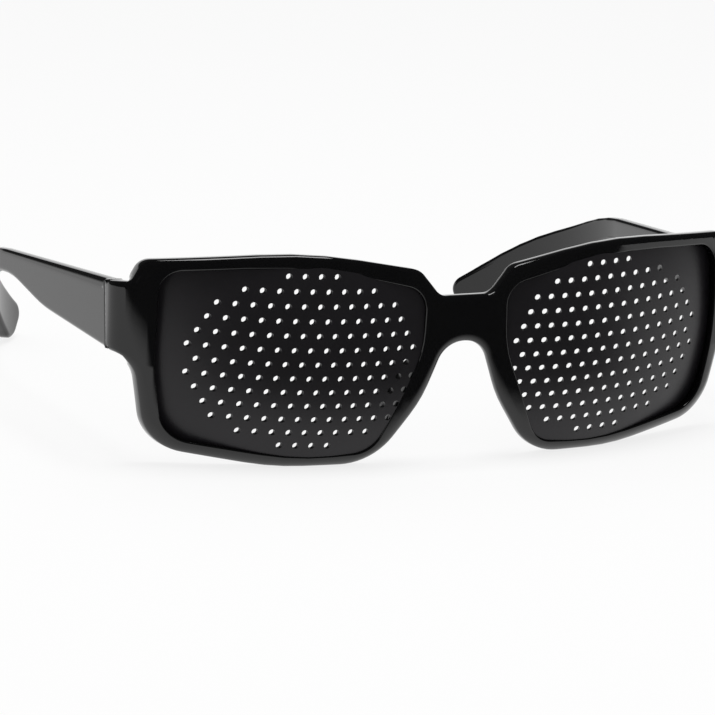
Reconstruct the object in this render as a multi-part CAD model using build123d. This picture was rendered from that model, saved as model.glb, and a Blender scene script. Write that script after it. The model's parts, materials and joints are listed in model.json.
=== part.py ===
from build123d import *
import os
from math import asin, atan2, cos, degrees, radians, sin, sqrt

# Pinhole glasses with a wrapped moulded front, two domed perforated sheets and folding temples.
# Lengths are in millimetres and angles in degrees. The glasses are drawn as they are worn: X runs
# to the wearer's left, Y to the back of the head and Z up, with the origin between the two hole
# patterns. Everything is drawn for the wearer's left side and mirrored. At the end the glasses
# are turned until their lower rims and temple tips lie on the plane Z = 0.

# Front, seen from above
front_width = 142.0
front_thickness = 3.8
brow_set = 1.4
bow_radius = 200.0
bow_half_width = 25.0
wrap_radius = 115.0
corner_radius = 5.0
drop_radius = 130.0
pantoscopic_angle = 10.3
seam_place = 19.2
front_half_height = 26.0

# Front, seen from straight ahead
bridge_half_width = 6.9
bridge_top = 12.9
bridge_bottom = 3.3
shoulder_width = 10.6
shoulder_height = 18.6
brow_peak_width = 33.0
brow_peak_height = 22.9
outer_top_width = 66.6
outer_top_height = 21.7
notch_width = 69.0
end_top = 18.0
end_bottom = 4.4
end_root_width = 66.9
outer_foot_width = 64.6
outer_foot_height = 17.0
rim_bottom_width = 38.0
rim_bottom = 22.3
nose_foot_width = 18.2
nose_foot = 22.2
nose_mid_width = 9.3
nose_mid = 9.0
arch_half_width = 4.6
top_line_radii = (3.4, 4.0, 90.0, 3.4, 1.6)
bottom_line_radii = (3.7, 6.5, 60.0, 13.0, 28.0, 4.2)
top_edge_radius = 0.9
lower_edge_radius = 1.8
back_edge_radius = 0.5
lip_edge_radius = 0.3

# Lens openings, seen from straight ahead
opening_nose_width = 9.0
opening_nose_top = 14.2
opening_peak_width = 34.0
opening_peak = 20.2
opening_outer_width = 62.4
opening_outer_top = 19.3
opening_bulge_width = 62.8
opening_bulge = 1.0
opening_foot_width = 60.4
opening_foot = 15.4
opening_low_width = 34.0
opening_low = 20.4
opening_nose_foot_width = 18.5
opening_nose_foot = 19.5
opening_waist_width = 9.4
opening_waist = 1.5
opening_radii = (5.0, 90.0, 4.6, 60.0, 7.5, 60.0, 6.0, 22.0)

# Perforated sheets
sheet_thickness = 1.0
dome_radius = 82.0
dome_centre_width = 33.4
dome_centre_set = 1.4
sheet_wrap_angle = 10.7
sheet_seat = 0.8
groove_side_clearance = 0.2
groove_face_clearance = 0.1
hole_radius = 0.65
hole_sides = 6
hole_pitch = 3.27
row_spacing = 3.03
row_holes = (4, 9, 12, 13, 14, 15, 14, 15, 14, 13, 12, 9, 4)

# Moulded nose pads
pad_top_width = 7.0
pad_top_height = 0.5
pad_bottom_width = 14.2
pad_bottom_height = 15.0
pad_thickness = 3.0
pad_root = 1.2
pad_reach = 8.6
pad_flare = 0.3
pad_depth_shares = (0, 0.5, 0.85, 1)
pad_size_shares = (1, 0.96, 0.8, 0.5)

# Temples, seen from above
temple_end_thickness = 3.8
temple_straight = 12.0
temple_bow_place = 80.0
temple_bow_width = 74.3
temple_thickness = 2.9
temple_inner_radius = 200.0
temple_curl_radius = 95.0
temple_curl_angle = 40.0

# Temples, seen from the side
top_bend_place = 86.0
top_bend_height = 17.0
ear_bend_place = 118.0
ear_bend_height = 9.6
tip_place = 139.0
tip_drop = 5.1
tip_low_place = 134.6
tip_low_drop = 11.3
ear_low_place = 114.9
ear_low_height = 2.5
waist_place = 79.0
waist_height = 10.5
step_place = 64.0
step_height = 7.0
temple_side_radii = (60.0, 90.0, 3.5, 3.5, 90.0, 30.0, 40.0)
temple_bevel = 0.9
bevel_height = 2.4
bevel_width = 1.6
butt_gap = 0.2

# Hinges
hinge_width = 66.1
hinge_place = 17.8
hinge_height = 11.3
knuckle_radius = 1.45
knuckle_height = 1.8
knuckle_gap = 0.1
hinge_clearance = 0.25
leaf_thickness = 0.9
leaf_clearance = 0.1
leaf_corner_radius = 0.8
front_leaf_angle = 30.0
front_leaf_set = 0.9
front_leaf_length = 1.9
anchor_width = 1.0
anchor_depth = 1.8
anchor_height = 3.4
anchor_barb = 0.35
anchor_barb_depth = 0.6
temple_leaf_recess = 0.35
temple_leaf_length = 9.0
pivot_radius = 0.7
pivot_clearance = 0.05
pivot_head_radius = 1.25
pivot_head_height = 0.7
pivot_tail = 0.4
slot_width = 0.35
slot_depth = 0.3
thread_clearance = 0.02
leaf_screw_radius = 0.55
leaf_screw_length = 2.5
leaf_screw_head_radius = 0.95
leaf_screw_head_height = 0.45
leaf_screw_clearance = 0.08
leaf_screw_places = (2.6, 6.4)

# One overrun for every cut that passes right through, and one closeness for finding edges
overrun = 12.0
closeness = 0.002

half_width = front_width / 2
bow_angle = degrees(asin(bow_half_width / bow_radius))
wrap_run = half_width - corner_radius - bow_half_width + wrap_radius * sin(radians(bow_angle))
wrap_angle = degrees(asin(wrap_run / (wrap_radius - corner_radius)))
temple_start = seam_place + butt_gap
level_step = knuckle_height + knuckle_gap
barrel_half_height = level_step + knuckle_height / 2
relief_radius = knuckle_radius + hinge_clearance
tilt = Rot(X=pantoscopic_angle)


def block(x_span, y_span, z_span):
    """A box between three pairs of limits."""
    spans = (x_span, y_span, z_span)
    middle = [(low + high) / 2 for low, high in spans]
    return Pos(*middle) * Box(*[high - low for low, high in spans])


def both_ways(reach):
    """The pair of limits at the same distance on both sides of zero."""
    return (-reach, reach)


def ahead(face, low, high):
    """A prism whose front view is the face, drawn as X and Z, from Y = low to Y = high."""
    return Pos(0, low, 0) * extrude(Plane.XZ * face, amount=high - low, dir=(0, 1, 0))


def on_faces(edge, faces):
    """Whether the middle of the edge lies on one of the faces."""
    return any(face.distance_to(Vertex(edge @ 0.5)) < closeness for face in faces)


def shared_edges(solid, first, second):
    """The edges of the solid that run along a face of both lists."""
    edges = solid.edges()
    return ShapeList([edge for edge in edges if on_faces(edge, first) and on_faces(edge, second)])


def bow(depth):
    """Half of the front seen from above: tangent arcs, set back from the front face by depth."""
    middle = JernArc((0, depth - brow_set), (1, 0), bow_radius - depth, bow_angle)
    side = JernArc(middle @ 1, middle % 1, wrap_radius - depth, wrap_angle - bow_angle)
    corner = JernArc(side @ 1, side % 1, corner_radius - depth, 90 - wrap_angle)
    end = Line(corner @ 1, (corner @ 1) + (corner % 1) * overrun)
    return [middle, side, corner, end]


def swung(section):
    """The section, drawn from above, swung up and down about a distant axis and tilted."""
    axis = Axis((0, drop_radius, 0), (1, 0, 0))
    swing = degrees(asin(front_half_height / (drop_radius - seam_place)))
    return tilt * revolve(section.rotate(axis, -swing), axis, 2 * swing)


def faces_along(solid, line, place):
    """The faces of the solid that the middles of the line's edges lie on, in the given place."""
    middles = [Vertex(edge @ 0.5).moved(place) for edge in line]
    faces = solid.faces()
    return [face for face in faces if min(face.distance_to(point) for point in middles) < closeness]


def front_outline():
    """Half of the front seen from straight ahead: its upper line and its lower line."""
    far = half_width + overrun
    top = FilletPolyline(
        (0, bridge_top),
        (bridge_half_width, bridge_top),
        (shoulder_width, shoulder_height),
        (brow_peak_width, brow_peak_height),
        (outer_top_width, outer_top_height),
        (notch_width, end_top),
        (far, end_top),
        radius=top_line_radii,
    )
    bottom = FilletPolyline(
        (far, end_bottom),
        (end_root_width, end_bottom),
        (outer_foot_width, -outer_foot_height),
        (rim_bottom_width, -rim_bottom),
        (nose_foot_width, -nose_foot),
        (nose_mid_width, -nose_mid),
        (arch_half_width, bridge_bottom),
        (0, bridge_bottom),
        radius=bottom_line_radii,
    )
    return top, bottom


def opening_face():
    """The left lens opening seen from straight ahead."""
    line = FilletPolyline(
        (opening_nose_width, opening_nose_top),
        (opening_peak_width, opening_peak),
        (opening_outer_width, opening_outer_top),
        (opening_bulge_width, -opening_bulge),
        (opening_foot_width, -opening_foot),
        (opening_low_width, -opening_low),
        (opening_nose_foot_width, -opening_nose_foot),
        (opening_waist_width, opening_waist),
        radius=opening_radii,
        close=True,
    )
    return make_face(line)


def nose_pad():
    """A rounded flange behind the nose side of the left rim, flaring outwards to the rear."""
    run = Line((pad_top_width, -pad_top_height), (pad_bottom_width, -pad_bottom_height))
    middle = run @ 0.5
    along = ((run % 0.5).X, 0, (run % 0.5).Y)
    sections = []
    for depth_share, size_share in zip(pad_depth_shares, pad_size_shares):
        depth = pad_root + depth_share * (pad_reach - pad_root)
        outline = Ellipse(size_share * run.length / 2, size_share * pad_thickness / 2)
        place = (middle.X + depth * pad_flare, depth, middle.Y)
        sections.append(Plane(place, x_dir=along, z_dir=(0, 1, 0)) * outline)
    return tilt * loft(sections)


def dome(front_offset, back_offset):
    """The domed skin that the left sheet follows, thickened to its front and to its back."""
    frame = tilt * Pos(dome_centre_width, dome_centre_set, 0) * Rot(Z=sheet_wrap_angle)
    outer = Sphere(dome_radius + front_offset)
    inner = Sphere(dome_radius - sheet_thickness - back_offset)
    return frame * Pos(0, dome_radius, 0) * (outer - inner)


def hole_places():
    """Places of the left sheet's holes seen from straight ahead, as X and Z.

    The rows are laid on the dome in the sheet's own frame, each shifted by half a pitch.
    """
    frame = tilt * Pos(dome_centre_width, dome_centre_set, 0) * Rot(Z=sheet_wrap_angle)
    places = []
    for row, count in enumerate(row_holes):
        up = ((len(row_holes) - 1) / 2 - row) * row_spacing
        for column in range(count):
            across = (column - (count - 1) / 2) * hole_pitch
            depth = dome_radius - sqrt(dome_radius**2 - across**2 - up**2)
            place = (frame * Pos(across, depth, up)).position
            places.append((place.X, place.Z))
    return places


def pinhole_sheet():
    """The left perforated sheet: a domed skin with holes that all look straight ahead."""
    face = offset(opening_face(), sheet_seat)
    holes = [Pos(*place) * RegularPolygon(hole_radius, hole_sides) for place in hole_places()]
    return ahead(face - holes, -overrun, seam_place + overrun) & dome(0, 0)


def front_half():
    """The left half of the front, without its hinge seat."""
    top, bottom = front_outline()
    ends = [Line(top @ 1, bottom @ 0), Line(bottom @ 1, top @ 0)]
    outline = make_face(Wire(top.edges() + bottom.edges() + ends))
    face_line = bow(0)
    back_line = bow(front_thickness)
    ends = [Line(face_line[0] @ 0, back_line[0] @ 0), Line(face_line[-1] @ 1, back_line[-1] @ 1)]
    band = swung(make_face(Wire(face_line + back_line + ends)))
    prism = ahead(outline, -overrun, seam_place + overrun)
    far = half_width + overrun
    inside = half_width - front_thickness - hinge_clearance
    level = block((0, far), both_ways(far), (end_bottom, end_top))
    past_corner = tilt * block((inside, far), ((face_line[-1] @ 0).Y, far), both_ways(far))
    past_seam = block((inside, far), (seam_place, far), both_ways(far))
    half = (band & prism) - past_seam

    face_skin = faces_along(band, face_line, tilt)
    back_skin = faces_along(band, back_line, tilt)
    top_wall = faces_along(prism, top.edges(), Plane.XZ.location)
    bottom_wall = faces_along(prism, bottom.edges(), Plane.XZ.location)
    for skin, wall, radius in (
        (face_skin, bottom_wall, lower_edge_radius),
        (face_skin, top_wall, top_edge_radius),
        (back_skin, bottom_wall, back_edge_radius),
        (back_skin, top_wall, lip_edge_radius),
    ):
        half = fillet(shared_edges(half, skin, wall), radius)

    opening = ahead(opening_face(), -overrun, seam_place + overrun)
    half = half - (past_corner - level) - opening
    wall = opening.faces().filter_by(Axis.Y, reverse=True)
    for skin in (face_skin, back_skin):
        half = fillet(shared_edges(half, skin, wall), lip_edge_radius)
    return half


def temple_band():
    """The left temple seen from above, made tall enough to be cut by its side view."""
    start = (half_width, temple_start)
    bend = (temple_bow_width, temple_bow_place)
    outer = Line(start, bend)
    outer_curl = JernArc(outer @ 1, outer % 1, temple_curl_radius, temple_curl_angle)
    inner_start = (half_width - temple_end_thickness, temple_start)
    inner_turn = (half_width - temple_end_thickness, temple_start + temple_straight)
    inner_bend = (outer @ 1) + (outer % 1).rotate(Axis.Z, 90) * temple_thickness
    inner = FilletPolyline(inner_start, inner_turn, inner_bend, radius=temple_inner_radius)
    inner_radius = temple_curl_radius - temple_thickness
    inner_curl = JernArc(inner_bend, outer % 1, inner_radius, temple_curl_angle)
    ends = [Line(inner_start, start), Line(outer_curl @ 1, inner_curl @ 1)]
    section = make_face(Wire([outer, outer_curl, inner_curl] + inner.edges() + ends))
    band = Pos(0, 0, -tip_low_drop) * extrude(section, amount=end_top + tip_low_drop)
    return [outer, outer_curl], inner.edges() + [inner_curl], band


def temple_side():
    """The left temple seen from the side, as Y and Z."""
    line = FilletPolyline(
        (temple_start, end_top),
        (top_bend_place, top_bend_height),
        (ear_bend_place, ear_bend_height),
        (tip_place, -tip_drop),
        (tip_low_place, -tip_low_drop),
        (ear_low_place, ear_low_height),
        (waist_place, waist_height),
        (step_place, step_height),
        (temple_start, end_bottom),
        radius=temple_side_radii,
    )
    return Wire(line.edges() + [Line(line @ 1, line @ 0)])


def temple_blank():
    """The left temple with its long edges bevelled, without its hinge seat."""
    outer, inner, band = temple_band()
    line = temple_side()
    side = extrude(Plane.YZ * make_face(line), amount=half_width + overrun)
    blank = band & side
    outside = faces_along(band, outer, Location())
    inside = faces_along(band, inner, Location())
    rim = faces_along(side, line.edges()[:-1], Plane.YZ.location)
    blank = chamfer(shared_edges(blank, outside, rim), temple_bevel)
    return chamfer(shared_edges(blank, inside, rim), temple_bevel)


def knuckle(level):
    """One knuckle of the hinge barrel, on the hinge axis."""
    return Pos(0, 0, level * level_step) * Cylinder(knuckle_radius, knuckle_height)


def knuckle_neck(level, x_span, y_span):
    """The strip that joins a knuckle to its leaf."""
    low = level * level_step - knuckle_height / 2
    return block(x_span, y_span, (low, low + knuckle_height))


def front_leaf_anchor():
    """The barbed tang that the front leaf is moulded in by."""
    back = front_leaf_set + leaf_thickness
    middle = relief_radius + front_leaf_length / 2
    low = middle - anchor_width / 2
    high = middle + anchor_width / 2
    tall = both_ways(anchor_height / 2)
    stem = block((low, high), (back, back + anchor_depth), tall)
    barb_span = (low - anchor_barb, high + anchor_barb)
    barb = block(barb_span, (back + anchor_depth - anchor_barb_depth, back + anchor_depth), tall)
    return stem + barb


def front_leaf():
    """Upper and lower knuckle on a plate with an anchor, seen from the hinge axis."""
    across = (front_leaf_set, front_leaf_set + leaf_thickness)
    reach = relief_radius + front_leaf_length
    leaf = block((relief_radius, reach), across, both_ways(barrel_half_height))
    corners = leaf.edges().filter_by(Axis.Y).group_by(Axis.X)[-1]
    leaf = fillet(corners, leaf_corner_radius)
    for level in (-1, 1):
        leaf = leaf + knuckle_neck(level, (0, relief_radius), across) + knuckle(level)
    leaf = leaf + front_leaf_anchor()
    bore = Cylinder(pivot_radius + pivot_clearance, barrel_half_height * 2)
    thread = Cylinder(pivot_radius + thread_clearance, level_step)
    upper = Pos(0, 0, barrel_half_height) * bore
    return leaf - upper - Pos(0, 0, -level_step) * thread


def front_leaf_seat():
    """What the front gives way to: the leaf, the anchor and the swing of the barrel."""
    deep = (-overrun, front_leaf_set + leaf_thickness)
    reach = relief_radius + front_leaf_length + leaf_clearance
    tall = both_ways(barrel_half_height + leaf_clearance)
    return block((-leaf_clearance, reach), deep, tall) + front_leaf_anchor()


def barrel_relief():
    """The round relief that the barrel and the head of its screw stand in."""
    low = -barrel_half_height - pivot_tail - hinge_clearance
    high = barrel_half_height + pivot_head_height + hinge_clearance
    return Pos(0, 0, (low + high) / 2) * Cylinder(relief_radius, high - low)


def temple_leaf_side():
    """How far the temple leaf's plate lies outside the hinge axis, inner and outer face."""
    outer = half_width - temple_end_thickness - hinge_width + temple_leaf_recess
    return (outer - leaf_thickness, outer)


def temple_leaf():
    """Middle knuckle on a plate with two screw holes, seen from the hinge axis."""
    side = temple_leaf_side()
    along = (relief_radius, relief_radius + temple_leaf_length)
    leaf = block(side, along, both_ways(barrel_half_height))
    leaf = fillet(leaf.edges().filter_by(Axis.X).group_by(Axis.Y)[-1], leaf_corner_radius)
    leaf = leaf + knuckle_neck(0, side, (0, relief_radius)) + knuckle(0)
    leaf = leaf - Cylinder(pivot_radius + pivot_clearance, level_step)
    for place in leaf_screw_places:
        hole = Cylinder(leaf_screw_radius + leaf_screw_clearance, overrun)
        leaf = leaf - Pos(0, relief_radius + place, 0) * Rot(Y=90) * hole
    return leaf


def temple_leaf_seat():
    """What the temple gives way to: the leaf, its two screws and the swing of the barrel."""
    side = temple_leaf_side()
    along = (-leaf_clearance, relief_radius + temple_leaf_length + leaf_clearance)
    seat = block((-overrun, side[1]), along, both_ways(barrel_half_height + leaf_clearance))
    bore = Cylinder(leaf_screw_radius + thread_clearance, leaf_screw_length)
    for place in leaf_screw_places:
        middle = side[1] + leaf_screw_length / 2
        seat = seat + Pos(middle, relief_radius + place, 0) * Rot(Y=90) * bore
    return seat


def neck_relief():
    """The slot in the front that the temple leaf's neck passes through."""
    side = temple_leaf_side()
    tall = both_ways(knuckle_height / 2 + hinge_clearance)
    return block((0, side[1] + hinge_clearance), (0, overrun), tall)


def slotted_head(radius, height):
    """A screw head with a driver slot, standing on its own plane."""
    head = Pos(0, 0, height / 2) * Cylinder(radius, height)
    head = chamfer(head.edges().sort_by(Axis.Z)[-1], height / 3)
    return head - block(both_ways(radius), both_ways(slot_width / 2), (height - slot_depth, height))


def hinge_screw():
    """The screw that the temple turns on, seen from the hinge axis."""
    low = -barrel_half_height - pivot_tail
    shank = Pos(0, 0, (low + barrel_half_height) / 2) * Cylinder(pivot_radius, barrel_half_height - low)
    return shank + Pos(0, 0, barrel_half_height) * slotted_head(pivot_head_radius, pivot_head_height)


def temple_leaf_screws():
    """The two self-tapping screws of the temple leaf, seen from the hinge axis."""
    inner, outer = temple_leaf_side()
    length = outer - inner + leaf_screw_length
    screws = []
    for place in leaf_screw_places:
        shank = Pos(0, 0, -length / 2) * Cylinder(leaf_screw_radius, length)
        screw = shank + slotted_head(leaf_screw_head_radius, leaf_screw_head_height)
        screws.append(Pos(inner, relief_radius + place, 0) * Rot(Y=-90) * screw)
    return screws


hinge = Pos(hinge_width, hinge_place, hinge_height)
hinge_turned = hinge * Rot(Z=180 + front_leaf_angle)

groove_face = offset(opening_face(), sheet_seat + groove_side_clearance)
groove = ahead(groove_face, -overrun, seam_place + overrun)
groove = groove & dome(groove_face_clearance, groove_face_clearance)
front = front_half() + nose_pad() - groove
front = front - hinge_turned * front_leaf_seat() - hinge * barrel_relief() - hinge * neck_relief()
temple = temple_blank() - hinge * temple_leaf_seat() - hinge * barrel_relief()

left_pieces = {
    "pinhole_sheet": [pinhole_sheet()],
    "temple": [temple],
    "front_leaf": [hinge_turned * front_leaf()],
    "temple_leaf": [hinge * temple_leaf()],
    "hinge_screw": [hinge * hinge_screw()],
    "temple_leaf_screws": [hinge * screw for screw in temple_leaf_screws()],
}
pieces = {"front_frame": [front + mirror(front, Plane.YZ)]}
for name, solids in left_pieces.items():
    pieces[name + "_left"] = solids
    pieces[name + "_right"] = [mirror(solid, Plane.YZ) for solid in solids]

# The glasses rest on the front's lower rims and the temple tips
rest_angle = 0
for _ in range(4):
    turned = Rot(X=-rest_angle)
    rim_low = (turned * pieces["front_frame"][0]).bounding_box().min.Z
    tip_low = (turned * temple).bounding_box().min.Z
    rest_angle = rest_angle + degrees(atan2(tip_low - rim_low, tip_low_place))
turned = Rot(X=-rest_angle)
whole = Compound([turned * solid for solids in pieces.values() for solid in solids])
box = whole.bounding_box()
settle = Pos(0, -box.center().Y, -box.min.Z) * turned

os.makedirs("parts", exist_ok=True)
for name, solids in pieces.items():
    export_step(Compound([settle * solid for solid in solids]), "parts/" + name + ".step")
    volume = sum(solid.volume for solid in solids)
    print(name, len(solids), round(volume, 2), all(solid.is_valid for solid in solids))
hinge_point = (settle * hinge).position
worn_origin = settle.position
print("rest angle", rest_angle)
print("hinge axis passes through", hinge_point)
print("worn origin lies at", worn_origin)
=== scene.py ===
import json
import math

import bmesh
import bpy
import numpy as np
from mathutils import Matrix, Vector
from mathutils.geometry import delaunay_2d_cdt


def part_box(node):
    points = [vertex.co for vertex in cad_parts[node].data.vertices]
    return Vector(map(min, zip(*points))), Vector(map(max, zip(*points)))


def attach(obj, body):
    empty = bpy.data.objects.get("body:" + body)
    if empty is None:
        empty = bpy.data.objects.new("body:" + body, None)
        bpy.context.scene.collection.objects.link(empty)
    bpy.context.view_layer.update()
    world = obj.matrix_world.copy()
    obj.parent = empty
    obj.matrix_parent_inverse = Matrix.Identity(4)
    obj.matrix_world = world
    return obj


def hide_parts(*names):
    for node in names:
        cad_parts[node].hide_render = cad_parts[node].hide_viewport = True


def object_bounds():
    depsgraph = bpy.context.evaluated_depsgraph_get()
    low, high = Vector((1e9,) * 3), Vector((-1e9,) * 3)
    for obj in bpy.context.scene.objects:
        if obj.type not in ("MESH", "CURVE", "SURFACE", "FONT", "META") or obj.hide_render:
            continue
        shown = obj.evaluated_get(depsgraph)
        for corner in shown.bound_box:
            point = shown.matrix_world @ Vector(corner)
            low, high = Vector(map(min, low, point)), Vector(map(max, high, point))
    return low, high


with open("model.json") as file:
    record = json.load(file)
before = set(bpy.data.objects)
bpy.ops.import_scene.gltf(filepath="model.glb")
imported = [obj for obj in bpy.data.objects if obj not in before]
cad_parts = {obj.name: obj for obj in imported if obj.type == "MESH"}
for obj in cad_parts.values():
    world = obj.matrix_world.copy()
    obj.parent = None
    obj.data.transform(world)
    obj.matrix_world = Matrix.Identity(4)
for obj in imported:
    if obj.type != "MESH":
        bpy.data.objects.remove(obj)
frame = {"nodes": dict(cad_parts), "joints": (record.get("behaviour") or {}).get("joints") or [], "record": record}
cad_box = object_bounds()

# The pieces are drawn in millimetres as the glasses are worn: X runs to the wearer's left, Y to the
# back of the head and Z up, with the origin between the two hole patterns. Everything is drawn for
# the wearer's left side, where the left hinge is known from the frame, and mirrored.
mm = 0.001
hinge_place = (66.1, 17.8, 11.3)
left_hinge = next(joint for joint in frame["joints"] if joint["name"] == "temple_left_fold")
worn_up = Vector(left_hinge["axis"]).normalized()
rest_turn = Vector((0, 0, 1)).rotation_difference(worn_up).to_matrix()
worn_origin = Vector(left_hinge["pos_m"]) - rest_turn @ (Vector(hinge_place) * mm)
half_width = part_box("front_frame")[1].x / mm

# The photograph's view, in the worn frame
view_azimuth = math.radians(-23.0)
view_elevation = math.radians(8.15)
view_distance = 0.909
view_width = 0.14726
image_middle = (357.5, 357.5)
worn_origin_pixel = (462.77, 355.85)
image_width = 715
sensor_width = 36.0
clip_start = 0.01

# Front: its plan as tangent arcs, swung about a distant axis and tilted
half_height = 22.59
front_thickness = 3.8
brow_set = 1.4
plan_radii = (200.0, 115.0, 5.0)
bow_half_width = 25.0
drop_radius = 130.0
pantoscopic_angle = math.radians(10.3)
seam_place = 19.2
end_run = 1.4
square_width = 64.0

# Front outlines from straight ahead, as shares of half the width and of half the height, and the
# radii of their corners as shares of half the height
end_top_share = 0.759
end_bottom_share = 0.133
top_corner_shares = (
    (0.082, 0.571),
    (0.147, 0.823),
    (0.465, 1.013),
    (0.918, 0.96),
    (0.952, end_top_share),
)
top_rounding_shares = (0.15, 0.177, 3.98, 0.15, 0.071)
bottom_corner_shares = (
    (0.942, end_bottom_share),
    (0.89, -0.77),
    (0.535, -0.987),
    (0.2495, -0.982),
    (0.1215, -0.398),
    (0.058, 0.146),
)
bottom_rounding_shares = (0.33, 0.465, 2.65, 0.575, 1.24, 0.255)
opening_corner_shares = (
    (0.127, 0.628),
    (0.479, 0.894),
    (0.879, 0.854),
    (0.885, -0.044),
    (0.851, -0.681),
    (0.479, -0.903),
    (0.261, -0.863),
    (0.132, 0.066),
)
opening_rounding_shares = (0.221, 3.98, 0.204, 2.65, 0.332, 2.65, 0.265, 0.973)

# Bevels, as the width on the skin and the depth on the wall, and the runs that they change over
top_bevel = (0.9, 0.7)
low_bevel = (2.0, 1.1)
end_bevel = (0.9, 0.8)
lip_bevel = (0.45, 0.45)
back_bevel = (0.5, 0.5)
nose_bevel = (1.2, 1.2)
nose_half_width = 24.0
nose_blend = 4.0
seam_bevel = (0.12, 0.12)
seam_blend = 0.8
seam_back_blend = 1.0
end_half_width = 60.0
end_blend_start = 6.0
end_blend = 8.0
end_top_margin = 1.0
arch_margin = 0.5
bevel_rim_share = 0.68
bevel_steps = 6
bevel_power = 1.35

# Perforated sheets
sheet_thickness = 0.9
sheet_seat = 0.8
dome_radius = 70.0
dome_centre_width = 33.44
dome_centre_set = 0.2
sheet_wrap_angle = math.radians(12.0)
hole_radius = 0.66
hole_pitch = 3.32
hole_growth_share = 0.0097
row_spacing = 3.013
hole_drop = 0.25
row_holes = (4, 9, 12, 13, 14, 15, 14, 15, 14, 13, 12, 9, 4)
hole_turn = math.radians(10.0)
hole_sides = 20

# Nose pads
pad_top = (7.0, -0.5)
pad_bottom = (14.2, -15.0)
pad_thickness = 3.0
pad_root = 1.2
pad_reach = 6.8
pad_flare = 0.32
pad_length_power = 0.35
pad_width_power = 0.5
pad_sides = 40
pad_steps = 14

# Temples, seen from above and from the side
temple_gap = 0.2
temple_end_thickness = 3.8
temple_thickness = 2.9
temple_bow_place = 80.0
temple_bow_width = 74.3
temple_curl_radius = 79.0
temple_square_run = 40.0
temple_corners = (
    (87.5, 17.0),
    (119.0, 8.4),
    (136.6, -3.6),
    (131.0, -11.35),
    (113.5, 4.9),
    (79.0, 13.2),
    (56.0, 7.2),
)
temple_roundings = (60.0, 70.0, 3.5, 3.5, 70.0, 36.0, 60.0)
temple_top_bevel = (2.1, 1.3)
temple_tip_bevel = (0.9, 0.7)
temple_low_bevel = (0.8, 0.7)
temple_border = 0.5

# Reliefs for the hinge, seen from its axis
barrel_relief_radius = 1.7
barrel_relief_span = (-3.45, 3.75)
front_leaf_angle = math.radians(210.0)
front_leaf_seat = ((-0.1, 3.7), (-12.0, 1.8), (-2.9, 2.9))
neck_relief = ((0.0, 1.7), (0.0, 12.0), (-1.15, 1.15))
temple_leaf_seat = ((-12.0, 1.45), (-0.1, 10.8), (-2.9, 2.9))
barrel_cut_sides = 40

# Steps that lines and skins are divided in, and how far a skin's points stay from its edges
rounding_step = math.radians(6)
fewest_rounding_steps = 3
outline_step = 1.0
opening_step = 0.5
end_step = 0.45
seam_step = 1.2
front_column_step = 1.5
front_corner_step = 0.3
front_row_step = 0.75
temple_step = 1.5
temple_grid_reach = 135.0
temple_grid_heights = (-13.0, 19.0)
sheet_edge_step = 1.5
sheet_step = 1.6
sheet_grid_reach = 32.0
plate_gap = 0.35
sheet_gap = 0.5

# How the meshes are made: tolerances, and the angles from which an edge is sharp
triangles_to_hull = 0
fill_tolerance = 1e-6
weld_distance = 1e-7
plate_sharp_angle = math.radians(35)
sheet_sharp_angle = math.radians(30)
pad_sharp_angle = math.radians(50)

# Lamp, in metres
lamp_place = (0.0, -0.1, 0.9)
lamp_size = (0.5, 0.3)
lamp_power = 4


def worn(point):
    """A direction of the worn frame turned into the resting frame."""
    return rest_turn @ Vector(point)


def placed(point):
    """A point of the worn frame, in millimetres, turned into the resting frame, in metres."""
    return worn_origin + rest_turn @ (Vector(point) * mm)


def make_camera():
    """The camera at the photograph's angle, aimed so that the glasses lie where they do there."""
    across = Vector((math.cos(view_azimuth), math.sin(view_azimuth), 0))
    back = Vector((0, 0, math.sin(view_elevation)))
    back.x = math.sin(view_azimuth) * math.cos(view_elevation)
    back.y = -math.cos(view_azimuth) * math.cos(view_elevation)
    up = back.cross(across)
    scale = view_width / image_width
    right = (image_middle[0] - worn_origin_pixel[0]) * scale
    down = (image_middle[1] - worn_origin_pixel[1]) * scale
    eye = worn_origin + worn(back * view_distance)
    aim = worn_origin + worn(across * right - up * down)
    forward = (aim - eye).normalized()
    side = forward.cross(worn(up)).normalized()
    data = bpy.data.cameras.new("camera")
    data.sensor_width = sensor_width
    data.lens = sensor_width * view_distance / view_width
    data.clip_start = clip_start
    camera = bpy.data.objects.new("camera", data)
    turn = Matrix((side, side.cross(forward), -forward)).transposed().to_4x4()
    camera.matrix_world = Matrix.Translation(eye) @ turn
    bpy.context.scene.collection.objects.link(camera)
    bpy.context.scene.camera = camera


def spread(shares):
    """Shares of half the front's width and height, turned into places."""
    return [(across * half_width, up * half_height) for across, up in shares]


def rounded(corners, radii):
    """An open line through the corners, with each inner corner rounded by its radius."""
    line = [Vector(corners[0])]
    for index, radius in enumerate(radii):
        before, corner, after = (Vector(corners[index + step]) for step in range(3))
        arriving = (corner - before).normalized()
        leaving = (after - corner).normalized()
        turn = arriving.angle_signed(leaving)
        reach = radius * math.tan(abs(turn) / 2)
        side = arriving.orthogonal() * (-radius if turn > 0 else radius)
        middle = corner - arriving * reach + side
        count = max(fewest_rounding_steps, math.ceil(abs(turn) / rounding_step))
        for step in range(count + 1):
            angle = -turn * step / count
            spoke = Vector((-side.x, -side.y))
            spoke.rotate(Matrix.Rotation(angle, 2))
            line.append(middle + spoke)
    line.append(Vector(corners[-1]))
    return line


def closed(corners, radii):
    """A closed line with every corner rounded."""
    start = (Vector(corners[0]) + Vector(corners[-1])) / 2
    return rounded([start, *corners, start], radii)[:-1]


def divided(line, step, loop=False):
    """The line with its long stretches divided."""
    ends = line[1:] + line[:1] if loop else line[1:]
    points = []
    for start, end in zip(line, ends):
        count = max(1, math.ceil((end - start).length / step))
        points += [start.lerp(end, share / count) for share in range(count)]
    return points if loop else points + [line[-1]]


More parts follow.
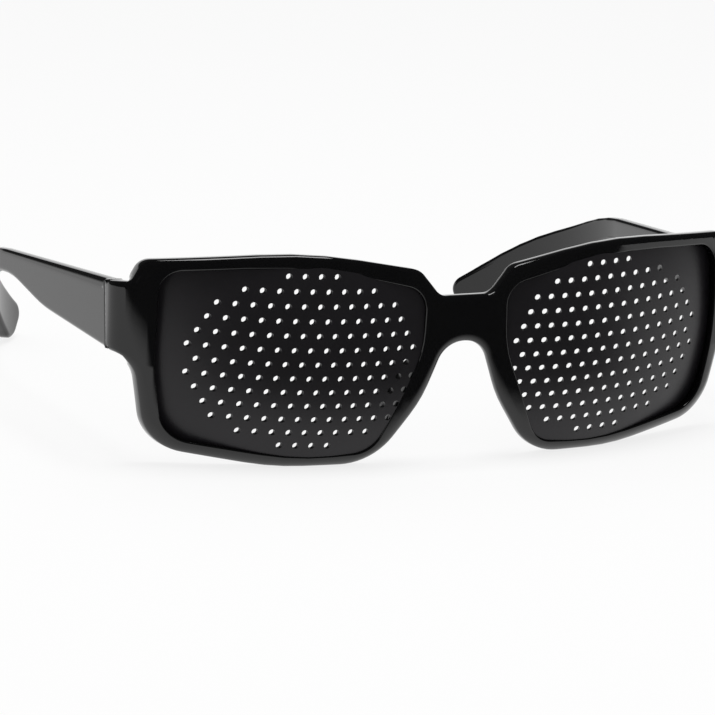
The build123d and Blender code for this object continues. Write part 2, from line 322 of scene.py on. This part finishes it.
class Plan:
    """Half of the front seen from above: tangent arcs for the middle, the side and the corner."""

    def __init__(self):
        middle, side, corner = plan_radii
        first = math.asin(bow_half_width / middle)
        run = half_width - corner - bow_half_width + side * math.sin(first)
        second = math.asin(run / (side - corner))
        self.angles = (0, first, second, math.pi / 2)
        centre = Vector((0, middle - brow_set))
        self.centres = [centre]
        for angle, radius, following in zip(self.angles[1:], plan_radii, plan_radii[1:]):
            centre = centre + Vector((math.sin(angle), -math.cos(angle))) * (radius - following)
            self.centres.append(centre)
        spans = [high - low for low, high in zip(self.angles, self.angles[1:])]
        lengths = [radius * span for radius, span in zip(plan_radii, spans)]
        self.runs = (0, lengths[0], lengths[0] + lengths[1], sum(lengths))
        self.square_angle = self.angle_at(square_width, 0)
        self.square_inner = self.angle_at(square_width, front_thickness)

    @staticmethod
    def arc_of(value, marks):
        """Which arc a value lies on, by the marks that the arcs run between."""
        return 0 if value <= marks[1] else 1 if value <= marks[2] else 2

    def point(self, angle, depth):
        """The place where the skin faces an angle, at a depth below it."""
        piece = self.arc_of(angle, self.angles)
        spoke = Vector((math.sin(angle), -math.cos(angle))) * (plan_radii[piece] - depth)
        return self.centres[piece] + spoke

    def angle_at(self, width, depth):
        """The angle of the skin at a width from the middle, at a depth below it."""
        for piece in range(3):
            radius = plan_radii[piece] - depth
            share = min(1, (width - self.centres[piece].x) / radius)
            angle = math.asin(share)
            if angle <= self.angles[piece + 1]:
                return angle
        return self.angles[3]

    def run_at(self, width):
        """How far along the skin a width from the middle lies."""
        angle = self.angle_at(min(width, half_width), 0)
        piece = self.arc_of(angle, self.angles)
        return self.runs[piece] + plan_radii[piece] * (angle - self.angles[piece])

    def angle_of(self, run):
        """The angle of the skin, a run along it from the middle."""
        piece = self.arc_of(run, self.runs)
        return min(math.pi / 2, self.angles[piece] + (run - self.runs[piece]) / plan_radii[piece])

    def inner_angle(self, angle):
        """The angle on the back that lies behind an angle of the skin."""
        if angle <= self.square_angle:
            return self.angle_at(self.point(angle, 0).x, front_thickness)
        share = (angle - self.square_angle) / (math.pi / 2 - self.square_angle)
        return self.square_inner + share * (math.pi / 2 - self.square_inner)


plan = Plan()
last_run = plan.runs[3] + end_run


def front_point(run, up, depth, from_back):
    """A point of the front, run along its plan from the middle, at a depth below its skin."""
    side = math.copysign(1, run)
    run = abs(run)
    if from_back:
        depth = front_thickness - depth
    angle = plan.angle_of(min(run, plan.runs[3]))
    angle += (plan.inner_angle(angle) - angle) * depth / front_thickness
    point = plan.point(angle, depth)
    radius = drop_radius - point.y
    middle = Vector((math.cos(pantoscopic_angle), math.sin(pantoscopic_angle))) * drop_radius
    back = middle.x - math.sqrt(radius**2 - (up - middle.y) ** 2)
    width = point.x
    if run > plan.runs[3]:
        back += (seam_place - back) * (run - plan.runs[3]) / end_run
        width = half_width - depth
    return (side * width, back, up)


class Loop:
    """A closed line with the size of the bevel at each of its points, on the face and the back.

    A border puts one more ring on the skin inside the bevel, so that the shading there stays even.
    """

    def __init__(self, points, face, back, is_hole, border=0.0):
        self.border = border
        area = sum(a.x * b.y - b.x * a.y for a, b in zip(points, points[1:] + points[:1]))
        if (area > 0) == is_hole:
            points, face, back = points[::-1], face[::-1], back[::-1]
        self.points, self.sizes = points, {False: face, True: back}
        ahead = [(b - a).normalized() for a, b in zip(points, points[1:] + points[:1])]
        self.inward = []
        for before, after in zip(ahead[-1:] + ahead[:-1], ahead):
            first, second = Vector((-before.y, before.x)), Vector((-after.y, after.x))
            self.inward.append((first + second) / (1 + first.dot(second)))

    def rings(self, from_back):
        """The bevel's rings from the wall to the skin, as places in the plane and depths."""
        rings = []
        for step in range(bevel_steps + 1):
            angle = math.pi / 2 * step / bevel_steps
            in_share = 1 - math.cos(angle) ** bevel_power
            deep_share = 1 - math.sin(angle) ** bevel_power
            sizes = self.sizes[from_back]
            rows = zip(self.points, self.inward, sizes)
            rings.append([(p + n * size[0] * in_share, size[1] * deep_share) for p, n, size in rows])
        if self.border:
            rows = zip(self.points, self.inward, sizes)
            rings.append([(p + n * (size[0] + self.border), 0) for p, n, size in rows])
        return rings


def inside(points, line):
    """Which of the points lie inside the closed line."""
    x, y = points[:, :1], points[:, 1:]
    start = np.array(line)
    end = np.roll(start, -1, 0)
    crosses = (start[:, 1] > y) != (end[:, 1] > y)
    rise = np.where(end[:, 1] == start[:, 1], 1, end[:, 1] - start[:, 1])
    cross_at = start[:, 0] + (y - start[:, 1]) / rise * (end[:, 0] - start[:, 0])
    return (np.sum(crosses & (x < cross_at), 1) % 2) == 1


def filled(outline, holes, columns, rows, gap):
    """Triangles between an outline and its holes, with a grid of points inside them."""
    lines = [outline, *holes]
    edges, start = [], 0
    for line in lines:
        count = len(line)
        edges += [(start + index, start + (index + 1) % count) for index in range(count)]
        start += count
    border = np.array([point for line in lines for point in line])
    grid = np.array([(x, y) for x in columns for y in rows])
    keep = inside(grid, outline)
    for hole in holes:
        keep &= ~inside(grid, hole)
    grid = grid[keep]
    near = [np.min(np.hypot(*(border - point).T)) < gap for point in grid]
    grid = grid[~np.array(near)]
    flat = [Vector(point) for point in np.vstack([border, grid])]
    points, _, faces, origins, _, _ = delaunay_2d_cdt(
        flat, edges, [], triangles_to_hull, fill_tolerance
    )
    source = [list(origin)[0] for origin in origins]
    middles = np.array([sum((points[i] for i in face), Vector((0, 0))) / 3 for face in faces])
    keep = inside(middles, outline)
    for hole in holes:
        keep &= ~inside(middles, hole)
    triangles = [[source[i] for i in face] for face, kept in zip(faces, keep) if kept]
    return flat[len(border) :], triangles


def made_piece(name, points, faces, sharp_angle, cutters=()):
    """A smooth object from points of the worn frame, with sharp edges where its faces turn.

    It is cut by the cutters, which are then removed.
    """
    mesh = bpy.data.meshes.new(name)
    mesh.from_pydata([placed(point) for point in points], [], faces)
    cleaned = bmesh.new()
    cleaned.from_mesh(mesh)
    bmesh.ops.remove_doubles(cleaned, verts=cleaned.verts, dist=weld_distance)
    # Near the endpieces the fill can leave a triangle open, and then the cuts below fail.
    bmesh.ops.holes_fill(cleaned, edges=cleaned.edges, sides=3)
    bmesh.ops.recalc_face_normals(cleaned, faces=cleaned.faces)
    cleaned.to_mesh(mesh)
    cleaned.free()
    piece = bpy.data.objects.new(name, mesh)
    bpy.context.scene.collection.objects.link(piece)
    for block in cutters:
        cut = piece.modifiers.new("cut", "BOOLEAN")
        cut.operation = "DIFFERENCE"
        cut.solver = "EXACT"
        cut.object = block
    if cutters:
        graph = bpy.context.evaluated_depsgraph_get()
        piece.data = bpy.data.meshes.new_from_object(piece.evaluated_get(graph))
        piece.data.name = name
        piece.modifiers.clear()
    for block in cutters:
        bpy.data.objects.remove(block)
    piece.data.shade_smooth()
    piece.data.set_sharp_from_angle(angle=sharp_angle)
    return piece


def plate(name, loops, point, columns, rows, cutters):
    """A bent plate with bevelled edges. The first loop is its outline and the others are holes."""
    points, faces, walls = [], [], []
    for from_back in (False, True):
        innermost = []
        wall = []
        for loop in loops:
            previous = None
            for ring in loop.rings(from_back):
                start = len(points)
                points += [point(place.x, place.y, depth, from_back) for place, depth in ring]
                count = len(ring)
                if previous is None:
                    wall.append((start, count))
                else:
                    faces += bridged(previous, start, count)
                previous = start
            innermost.append(([place for place, _ in ring], start))
        walls.append(wall)
        lines = [places for places, _ in innermost]
        grid, triangles = filled(lines[0], lines[1:], columns, rows, plate_gap)
        numbers = [start + index for places, start in innermost for index in range(len(places))]
        numbers += range(len(points), len(points) + len(grid))
        points += [point(place.x, place.y, 0, from_back) for place in grid]
        faces += [[numbers[i] for i in triangle] for triangle in triangles]
    for (face_start, count), (back_start, _) in zip(*walls):
        faces += bridged(face_start, back_start, count)
    return made_piece(name, points, faces, plate_sharp_angle, cutters)


def bridged(first, second, count):
    """Four-sided faces between two rings of points."""
    following = [(index, (index + 1) % count) for index in range(count)]
    return [(first + a, first + b, second + b, second + a) for a, b in following]


def mixed(first, second, share):
    """A pair of sizes between two others."""
    share = min(1, max(0, share))
    return tuple(a + (b - a) * share for a, b in zip(first, second))


def mirrored(line):
    """The line reflected to the wearer's right, in the same order of travel."""
    return [Vector((-point.x, point.y)) for point in reversed(line)]


def opening_line():
    """The left lens opening seen from straight ahead."""
    return closed(spread(opening_corner_shares), spread_radii(opening_rounding_shares))


def front_loops():
    """The front's outline and its two lens openings, on the unrolled skin."""
    top = spread(top_corner_shares)
    low = spread(bottom_corner_shares)
    top_corners = [(0, top[0][1]), *top, (half_width, top[-1][1])]
    low_corners = [(half_width, low[0][1]), *low, (0, low[-1][1])]
    top_line = rounded(top_corners, spread_radii(top_rounding_shares))
    low_line = rounded(low_corners, spread_radii(bottom_rounding_shares))
    top_line = unrolled(divided(top_line[:-1], outline_step))
    low_line = unrolled(divided(low_line[1:], outline_step))
    top_end = Vector((last_run, top[-1][1]))
    low_end = Vector((last_run, low[0][1]))
    end = divided([top_line[-1], top_end], end_step)
    end += divided([top_end, low_end], seam_step)[1:-1]
    end += divided([low_end, low_line[0]], end_step)
    half = top_line[:-1] + end + low_line[1:]
    whole = half[:-1] + mirrored(half)[:-1]
    left = unrolled(divided(opening_line(), opening_step, True))
    face = []
    for point in whole:
        rim = min((Vector((abs(point.x), point.y)) - other).length for other in left)
        size = outline_bevel(point, top[-1][1])
        face.append((min(size[0], rim * bevel_rim_share), size[1]))
    back = [outline_back_bevel(point) for point in whole]
    loops = [Loop(whole, face, back, False)]
    for line in (left, mirrored(left)):
        loops.append(Loop(line, [lip_bevel] * len(line), [lip_bevel] * len(line), True))
    return loops


def spread_radii(shares):
    """Shares of half the front's height, turned into radii."""
    return [share * half_height for share in shares]


def unrolled(line):
    """A line seen from straight ahead, laid out along the front's plan."""
    return [Vector((plan.run_at(point.x), point.y)) for point in line]


def seam_distance(point):
    """How far a point of the unrolled front lies from the seam with the temple."""
    return last_run - abs(point.x)


def outline_bevel(point, end_top):
    """The face bevel at a point of the outline: narrow above, wide below and small at the ends."""
    middle_low = bottom_corner_shares[-1][1] * half_height
    is_end = abs(point.x) >= end_half_width
    is_low = point.y < (end_top - end_top_margin if is_end else middle_low + arch_margin)
    size = low_bevel if is_low else top_bevel
    if is_low:
        size = mixed(end_bevel, size, (seam_distance(point) - end_blend_start) / end_blend)
    return mixed(seam_bevel, size, seam_distance(point) / seam_blend)


def outline_back_bevel(point):
    """The back bevel at a point of the outline: wider around the nose and fine at the seam."""
    size = back_bevel
    if point.y < half_height / 2:
        size = mixed(back_bevel, nose_bevel, (nose_half_width - abs(point.x)) / nose_blend)
    return mixed(seam_bevel, size, seam_distance(point) / seam_back_blend)


def cutter(name, spans, side, turn=0.0, is_round=False):
    """A hidden block or round bar at the hinge that a piece is cut by."""
    cut = bmesh.new()
    if is_round:
        low, high = spans
        shape = Matrix.Translation((0, 0, (low + high) / 2))
        radius = barrel_relief_radius
        bmesh.ops.create_cone(
            cut,
            cap_ends=True,
            segments=barrel_cut_sides,
            radius1=radius,
            radius2=radius,
            depth=high - low,
            matrix=shape,
        )
    else:
        size = [high - low for low, high in spans]
        middle = [(low + high) / 2 for low, high in spans]
        shape = Matrix.Translation(middle) @ Matrix.Diagonal((*size, 1))
        bmesh.ops.create_cube(cut, size=1, matrix=shape)
    hinge = Matrix.Translation(hinge_place) @ Matrix.Rotation(turn, 4, "Z")
    for corner in cut.verts:
        point = hinge @ corner.co
        corner.co = placed((side * point.x, point.y, point.z))
    bmesh.ops.recalc_face_normals(cut, faces=cut.faces)
    # The normals can all come out facing inward, and then the cut fails.
    if cut.calc_volume(signed=True) < 0:
        bmesh.ops.reverse_faces(cut, faces=cut.faces)
    mesh = bpy.data.meshes.new(name)
    cut.to_mesh(mesh)
    cut.free()
    block = bpy.data.objects.new(name, mesh)
    bpy.context.scene.collection.objects.link(block)
    return block


def make_front():
    """The moulded front with its wide lower bevel and the hinge seats."""
    cutters = []
    for side in (1, -1):
        cutters.append(cutter("leaf_cut", front_leaf_seat, side, front_leaf_angle))
        cutters.append(cutter("barrel_cut", barrel_relief_span, side, is_round=True))
        cutters.append(cutter("neck_cut", neck_relief, side))
    columns = list(np.arange(-plan.runs[2], plan.runs[2], front_column_step))
    corner = np.arange(plan.runs[2], last_run, front_corner_step)
    columns += list(corner) + list(-corner)
    rows = np.arange(-half_height, half_height, front_row_step)
    return plate("front", front_loops(), front_point, columns, rows, cutters)


class TemplePlan:
    """The left temple's outer line seen from above: a straight run and a curl."""

    start = Vector((half_width, seam_place + temple_gap))
    bend = Vector((temple_bow_width, temple_bow_place))
    length = (bend - start).length
    lean = math.atan2(bend.x - start.x, bend.y - start.y)

    def run_at(self, back):
        """How far along the line from the seam a distance to the back lies."""
        if back <= self.bend.y:
            return (back - self.start.y) / math.cos(self.lean)
        turn = self.lean + math.asin((back - self.bend.y) / temple_curl_radius - math.sin(self.lean))
        return self.length + temple_curl_radius * turn

    def point(self, run, up, depth, from_back):
        """A point of the temple, a run along it from the seam, at a depth below its skin."""
        if run <= self.length:
            outer = self.start + (self.bend - self.start) * run / self.length
            heading = self.lean
        else:
            turn = (run - self.length) / temple_curl_radius
            heading = self.lean - turn
            inward = math.cos(heading) - math.cos(self.lean)
            backward = math.sin(self.lean) - math.sin(heading)
            outer = self.bend + Vector((inward, backward)) * temple_curl_radius
        slant = heading * min(1, max(0, run) / temple_square_run)
        share = min(1, max(0, run) / self.length)
        thickness = temple_end_thickness + (temple_thickness - temple_end_thickness) * share
        depth = thickness - depth if from_back else depth
        sunk = Vector((-math.cos(slant), math.sin(slant))) * depth
        return (outer.x + sunk.x, outer.y + sunk.y, up)


def make_temple(name, side):
    """A temple: a bowed and curled bar with a bevel along its top that dies out to the ear."""
    temple_plan = TemplePlan()
    end_top = end_top_share * half_height
    end_bottom = end_bottom_share * half_height
    front_edge = temple_plan.start.y
    line = rounded([(front_edge, end_top), *temple_corners, (front_edge, end_bottom)], temple_roundings)
    line = divided(line, outline_step) + divided([line[-1], line[0]], seam_step)[1:-1]
    points = [Vector((temple_plan.run_at(point.x), point.y)) for point in line]
    tip = max(range(len(points)), key=lambda index: points[index].x)
    face, back = [], []
    for index, point in enumerate(points):
        if index < tip:
            size = mixed(temple_top_bevel, temple_tip_bevel, point.x / temple_plan.length)
        else:
            size = temple_low_bevel
        face.append(mixed(seam_bevel, size, point.x / seam_blend))
        back.append(mixed(seam_bevel, temple_low_bevel, point.x / seam_blend))
    columns = np.arange(0, temple_plan.run_at(temple_grid_reach), temple_step)
    rows = np.arange(*temple_grid_heights, temple_step)

    def point_on_side(run, up, depth, from_back):
        point = temple_plan.point(run, up, depth, from_back)
        return (side * point[0], point[1], point[2])

    cutters = [
        cutter("leaf_cut", temple_leaf_seat, side),
        cutter("barrel_cut", barrel_relief_span, side, is_round=True),
    ]
    loop = Loop(points, face, back, False, temple_border)
    return plate(name, [loop], point_on_side, columns, rows, cutters)


def dome_place():
    """Where the left sheet's dome stands: turned outward, moved to its middle and tilted."""
    tilt = Matrix.Rotation(pantoscopic_angle, 4, "X")
    shift = Matrix.Translation((dome_centre_width, dome_centre_set, 0))
    return tilt @ shift @ Matrix.Rotation(sheet_wrap_angle, 4, "Z")


def hole_middles():
    """The middles of the left sheet's holes, laid out on its dome and seen from straight ahead."""
    place = dome_place()
    middles = []
    for row, count in enumerate(row_holes):
        up = ((len(row_holes) - 1) / 2 - row) * row_spacing - hole_drop
        for column in range(count):
            step = column - (count - 1) / 2
            across = step * hole_pitch * (1 + step * hole_growth_share)
            depth = dome_radius - math.sqrt(dome_radius**2 - across**2 - up**2)
            point = place @ Vector((across, depth, up))
            middles.append(Vector((point.x, point.z)))
    return middles


def make_sheet(name, side):
    """A domed sheet with round holes.

    The holes tilt with the front and turn a little, so that both sheets' holes aim in front of the
    nose.
    """
    edge = Loop(divided(opening_line(), sheet_edge_step, True), [], [], False)
    outline = [point - way * sheet_seat for point, way in zip(edge.points, edge.inward)]
    angles = [2 * math.pi * step / hole_sides for step in range(hole_sides)]
    circle = [Vector((math.cos(angle), math.sin(angle))) * hole_radius for angle in angles]
    middles = hole_middles()
    centre = dome_place() @ Vector((0, dome_radius, 0))
    inner, outer = dome_centre_width - sheet_grid_reach, dome_centre_width + sheet_grid_reach
    columns = np.arange(inner, outer, sheet_step)
    rows = np.arange(-half_height, half_height, sheet_step)
    points, faces, starts = [], [], []
    for depth in (0, sheet_thickness):
        moved = Vector((math.tan(hole_turn), math.tan(pantoscopic_angle))) * depth
        holes = [[middle + moved + spoke for spoke in circle] for middle in middles]
        grid, triangles = filled(outline, holes, columns, rows, sheet_gap)
        flat = outline + [point for hole in holes for point in hole] + grid
        starts.append(len(points))
        faces += [[len(points) + i for i in triangle] for triangle in triangles]
        for place in flat:
            reach = (dome_radius - depth) ** 2 - (place.x - centre.x) ** 2 - (place.y - centre.z) ** 2
            points.append((side * place.x, centre.y - math.sqrt(reach), place.y))
    faces += bridged(starts[0], starts[1], len(outline))
    for index in range(len(middles)):
        start = len(outline) + index * hole_sides
        faces += bridged(starts[0] + start, starts[1] + start, hole_sides)
    return made_piece(name, points, faces, sheet_sharp_angle)


def make_pad(name, side):
    """A moulded nose pad: a rounded flange behind the nose side of the rim, flaring to the rear."""
    start, end = Vector(pad_top), Vector(pad_bottom)
    along = (end - start).normalized()
    across = Vector((-along.y, along.x))
    middle = (start + end) / 2
    tilt = Matrix.Rotation(pantoscopic_angle, 3, "X")
    points, faces = [], []
    for step in range(pad_steps + 1):
        angle = math.pi / 2 * step / pad_steps
        depth = pad_root + math.sin(angle) * (pad_reach - pad_root)
        length = (end - start).length / 2 * math.cos(angle) ** pad_length_power
        width = pad_thickness / 2 * math.cos(angle) ** pad_width_power
        for index in range(pad_sides):
            turn = 2 * math.pi * index / pad_sides
            offset = along * (length * math.cos(turn)) + across * (width * math.sin(turn))
            place = middle + Vector((depth * pad_flare, 0)) + offset
            point = tilt @ Vector((place.x, depth, place.y))
            points.append((side * point.x, point.y, point.z))
        if step:
            faces += bridged((step - 1) * pad_sides, step * pad_sides, pad_sides)
    faces.append(list(range(pad_sides)))
    return made_piece(name, points, faces, pad_sharp_angle)


class Nodes:
    """A small helper that makes and links shader nodes in one tree."""

    def __init__(self, tree):
        self.tree = tree
        tree.nodes.clear()

    def add(self, kind, inputs=None, **settings):
        node = self.tree.nodes.new(kind)
        for name, value in settings.items():
            setattr(node, name, value)
        for name, value in (inputs or {}).items():
            if isinstance(value, bpy.types.NodeSocket):
                self.tree.links.new(value, node.inputs[name])
            else:
                node.inputs[name].default_value = value
        return node


def noise(nodes, scale, detail):
    """A noise pattern fixed to the object, with its scale in waves per metre."""
    place = nodes.add("ShaderNodeTexCoord").outputs["Object"]
    inputs = {"Vector": place, "Scale": scale, "Detail": detail}
    return nodes.add("ShaderNodeTexNoise", inputs).outputs["Fac"]


def ranged(nodes, value, low, high, start=0.0, end=1.0, smooth=False):
    """The value, from start to end, spread from low to high."""
    inputs = {"Value": value, "From Min": start, "From Max": end, "To Min": low, "To Max": high}
    kind = "SMOOTHSTEP" if smooth else "LINEAR"
    return nodes.add("ShaderNodeMapRange", inputs, interpolation_type=kind).outputs["Result"]


def calculated(nodes, operation, *values):
    """A value worked out from others."""
    return nodes.add("ShaderNodeMath", dict(enumerate(values)), operation=operation).outputs[0]


def blended(nodes, share, first, second):
    """One shader turned into another by a share."""
    return nodes.add("ShaderNodeMixShader", {0: share, 1: first, 2: second}).outputs[0]


def shaded(name, shade_inputs, roughness, colours, grain, bump):
    """A material whose colour and roughness wander between two values, with a fine bump.

    The grain is the scale of the wandering and of the bump, and the bump its strength and height.
    """
    cloud_detail = 4
    fine_detail = 3
    material = bpy.data.materials.new(name)
    material.use_nodes = True
    nodes = Nodes(material.node_tree)
    cloud = noise(nodes, grain[0], cloud_detail)
    fine = noise(nodes, grain[1], fine_detail)
    ramp = nodes.add("ShaderNodeMix", {0: cloud}, data_type="RGBA")
    ramp.inputs[6].default_value = (*colours[0], 1)
    ramp.inputs[7].default_value = (*colours[1], 1)
    relief_inputs = {"Height": fine, "Strength": bump[0], "Distance": bump[1]}
    relief = nodes.add("ShaderNodeBump", relief_inputs)
    inputs = {
        "Base Color": ramp.outputs[2],
        "Roughness": ranged(nodes, cloud, *roughness),
        "Normal": relief.outputs["Normal"],
    }
    shader = nodes.add("ShaderNodeBsdfPrincipled", {**inputs, **shade_inputs})
    nodes.add("ShaderNodeOutputMaterial", {"Surface": shader.outputs["BSDF"]})
    return material


def make_materials():
    """The record's material slots with their finishes."""
    black = ((0.002, 0.002, 0.0022), (0.0035, 0.0035, 0.0038))
    satin = ((0.009, 0.008, 0.0095), (0.014, 0.0125, 0.015))
    steel = ((0.55, 0.55, 0.56), (0.66, 0.66, 0.67))
    gloss = {"IOR": 1.5}
    dull = {"IOR": 1.4}
    metal = {"Metallic": 1.0}
    smooth_grain, smooth_bump = (90, 700), (0.02, 0.0002)
    sheet_grain, sheet_bump = (120, 2600), (0.06, 0.0002)
    metal_grain, hinge_bump, screw_bump = (400, 3000), (0.05, 0.0001), (0.03, 0.0001)
    finishes = {
        "front_plastic": (gloss, (0.03, 0.07), black, smooth_grain, smooth_bump),
        "temple_plastic": (gloss, (0.05, 0.1), black, smooth_grain, smooth_bump),
        "sheet_plastic": (dull, (0.34, 0.44), satin, sheet_grain, sheet_bump),
        "hinge_metal": (metal, (0.22, 0.36), steel, metal_grain, hinge_bump),
        "screw_metal": (metal, (0.12, 0.2), steel, metal_grain, screw_bump),
    }
    return {slot: shaded(slot, *finish) for slot, finish in finishes.items()}


def dress(piece, slot):
    """Give a piece the material of a slot."""
    piece.data.materials.clear()
    piece.data.materials.append(materials[slot])


def add_piece(piece, body, slot, node=None):
    """Hang a piece on its body, with its finish, in place of a node where one is named."""
    dress(piece, slot)
    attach(piece, body)
    if node:
        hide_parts(node)


def make_floor():
    """A wide floor, white to the camera.

    In reflections it is bright up to an edge a little in front of the glasses and dark past it, and
    beyond the glasses' ends the edge slants away to the front.
    """
    size = 6.0
    shadow_share = 0.2
    table_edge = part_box("front_frame")[0].y - 0.014
    table_half_width = 0.07
    edge_slant = 0.85
    edge_blur = 0.012
    far_tone = 0.04
    paper_colour = (0.9, 0.9, 0.9, 1)
    mesh = bpy.data.meshes.new("floor")
    corners = [(-size, -size, 0), (size, -size, 0), (size, size, 0), (-size, size, 0)]
    mesh.from_pydata(corners, [], [(0, 1, 2, 3)])
    material = bpy.data.materials.new("floor")
    material.use_nodes = True
    nodes = Nodes(material.node_tree)
    path = nodes.add("ShaderNodeLightPath")
    place = nodes.add("ShaderNodeTexCoord").outputs["Object"]
    place = nodes.add("ShaderNodeSeparateXYZ", {0: place}).outputs
    width = calculated(nodes, "ABSOLUTE", place["X"])
    beyond = calculated(nodes, "SUBTRACT", width, table_half_width)
    beyond = calculated(nodes, "MAXIMUM", beyond, 0.0)
    back = calculated(nodes, "MULTIPLY_ADD", beyond, edge_slant, place["Y"])
    tone = ranged(nodes, back, far_tone, 1, table_edge - edge_blur, table_edge + edge_blur, True)
    paper = nodes.add("ShaderNodeBsdfDiffuse", {"Color": paper_colour}).outputs["BSDF"]
    white = nodes.add("ShaderNodeEmission", {"Strength": 1.0}).outputs["Emission"]
    table = nodes.add("ShaderNodeEmission", {"Strength": tone}).outputs["Emission"]
    seen = blended(nodes, shadow_share, white, paper)
    lit = blended(nodes, path.outputs["Is Glossy Ray"], paper, table)
    chosen = blended(nodes, path.outputs["Is Camera Ray"], lit, seen)
    nodes.add("ShaderNodeOutputMaterial", {"Surface": chosen})
    mesh.materials.append(material)
    floor = bpy.data.objects.new("floor", mesh)
    bpy.context.scene.collection.objects.link(floor)


def make_world():
    """A pale studio, white to the camera.

    In reflections it is bright low behind the glasses, and dark in front of them and above.
    """
    light_strength = 0.75
    white_colour = (1, 1, 1, 1)
    bright_tone = 0.86
    dark_tone = 0.04
    bright_from = 0.3
    low_until = (0.13, 0.22)
    world = bpy.data.worlds.new("studio")
    world.use_nodes = True
    nodes = Nodes(world.node_tree)
    path = nodes.add("ShaderNodeLightPath")
    way = nodes.add("ShaderNodeTexCoord").outputs["Generated"]
    way = nodes.add("ShaderNodeSeparateXYZ", {0: way}).outputs
    behind = ranged(nodes, way["Y"], 0, bright_tone, 0, bright_from, True)
    low = ranged(nodes, way["Z"], 1, 0, *low_until, True)
    tone = calculated(nodes, "MULTIPLY_ADD", behind, low, dark_tone)
    light = nodes.add("ShaderNodeBackground", {"Strength": light_strength}).outputs[0]
    white = nodes.add("ShaderNodeBackground", {"Color": white_colour, "Strength": 1.0}).outputs[0]
    room = nodes.add("ShaderNodeBackground", {"Color": white_colour, "Strength": tone}).outputs[0]
    lit = blended(nodes, path.outputs["Is Glossy Ray"], light, room)
    chosen = blended(nodes, path.outputs["Is Camera Ray"], lit, white)
    nodes.add("ShaderNodeOutputWorld", {"Surface": chosen})
    bpy.context.scene.world = world


def make_light():
    """A soft box above that looks at the middle of the glasses."""
    data = bpy.data.lights.new("top_box", "AREA")
    data.shape = "RECTANGLE"
    data.size, data.size_y = lamp_size
    data.energy = lamp_power
    lamp = bpy.data.objects.new("top_box", data)
    lamp.location = lamp_place
    aim = (cad_box[0] + cad_box[1]) / 2 - lamp.location
    lamp.rotation_euler = aim.to_track_quat("-Z", "Y").to_euler()
    bpy.context.scene.collection.objects.link(lamp)


materials = make_materials()
for subpart in frame["record"]["subparts"]:
    dress(frame["nodes"][subpart["node"]], subpart["material_slot"])
add_piece(make_front(), "front", "front_plastic", "front_frame")
for name, side in (("left", 1), ("right", -1)):
    add_piece(make_pad("nose_pad_" + name, side), "front", "front_plastic")
    add_piece(make_sheet("sheet_" + name, side), "front", "sheet_plastic", "pinhole_sheet_" + name)
    temple = make_temple("arm_" + name, side)
    add_piece(temple, "temple_arm_" + name, "temple_plastic", "temple_" + name)
make_floor()
make_world()
make_camera()
make_light()
bpy.context.scene.view_settings.view_transform = "Standard"
